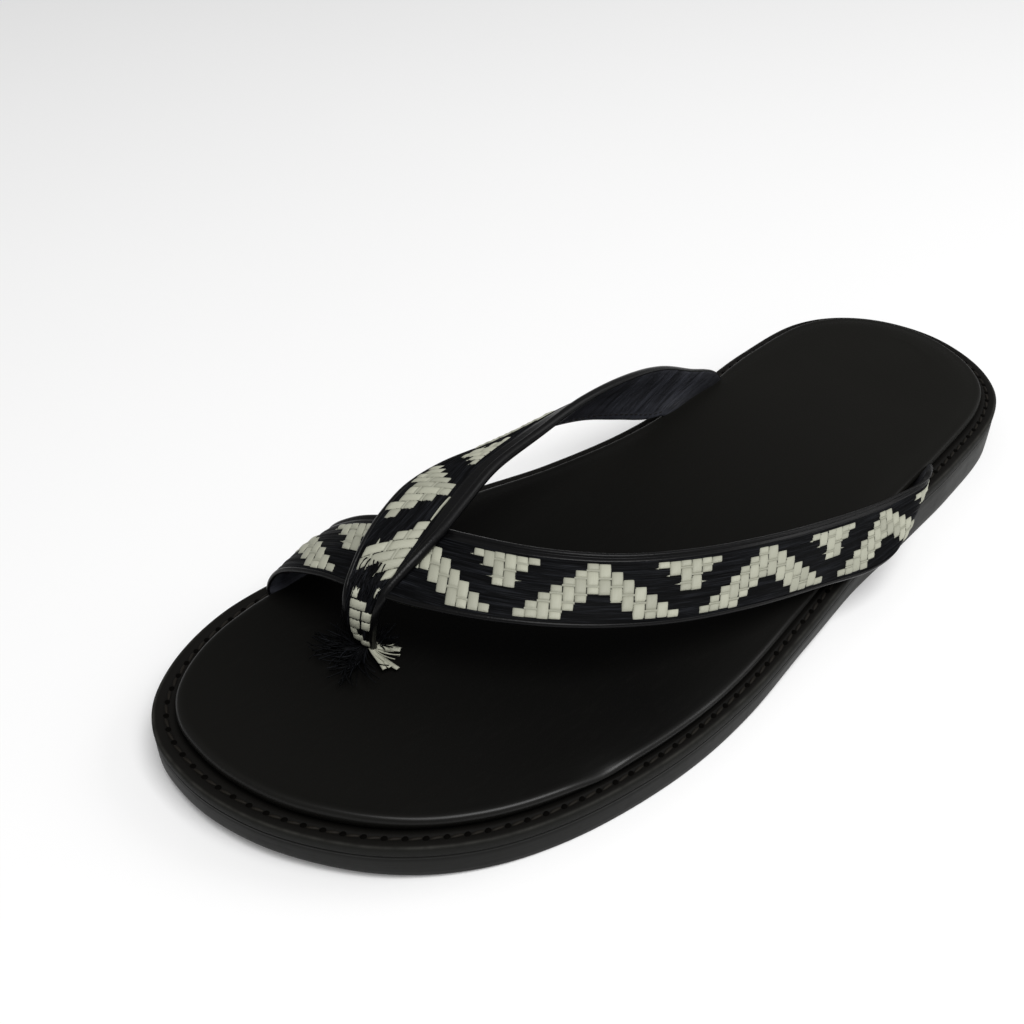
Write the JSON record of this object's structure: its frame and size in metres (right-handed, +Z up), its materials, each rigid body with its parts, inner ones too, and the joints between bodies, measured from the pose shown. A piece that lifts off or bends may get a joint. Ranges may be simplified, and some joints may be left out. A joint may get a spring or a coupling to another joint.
{
  "type": "toe post sandal",
  "caption": "Flat left toe post sandal with a padded black footbed, stitched welt and two crossing raffia faced straps.",
  "frame": {"origin": "middle of the sole's length and width, on the floor", "axes": "+X to the toe, +Y to the outer side of the left foot, +Z up"},
  "size_m": [0.27, 0.1068, 0.0423],
  "materials": {
    "outsole": "matt black moulded rubber",
    "welt": "brown-black stitched leather",
    "footbed": "soft black leather",
    "strap": "black leather with a soft gloss",
    "raffia": "woven raffia, cream and black"
  },
  "bodies": {
    "root": {"outsole": "outsole", "welt": "welt", "footbed": "footbed", "upper": "strap", "raffia_lateral": "raffia", "raffia_front": "raffia", "raffia_medial": "raffia", "fray": "raffia"}
  },
  "joints": []
}
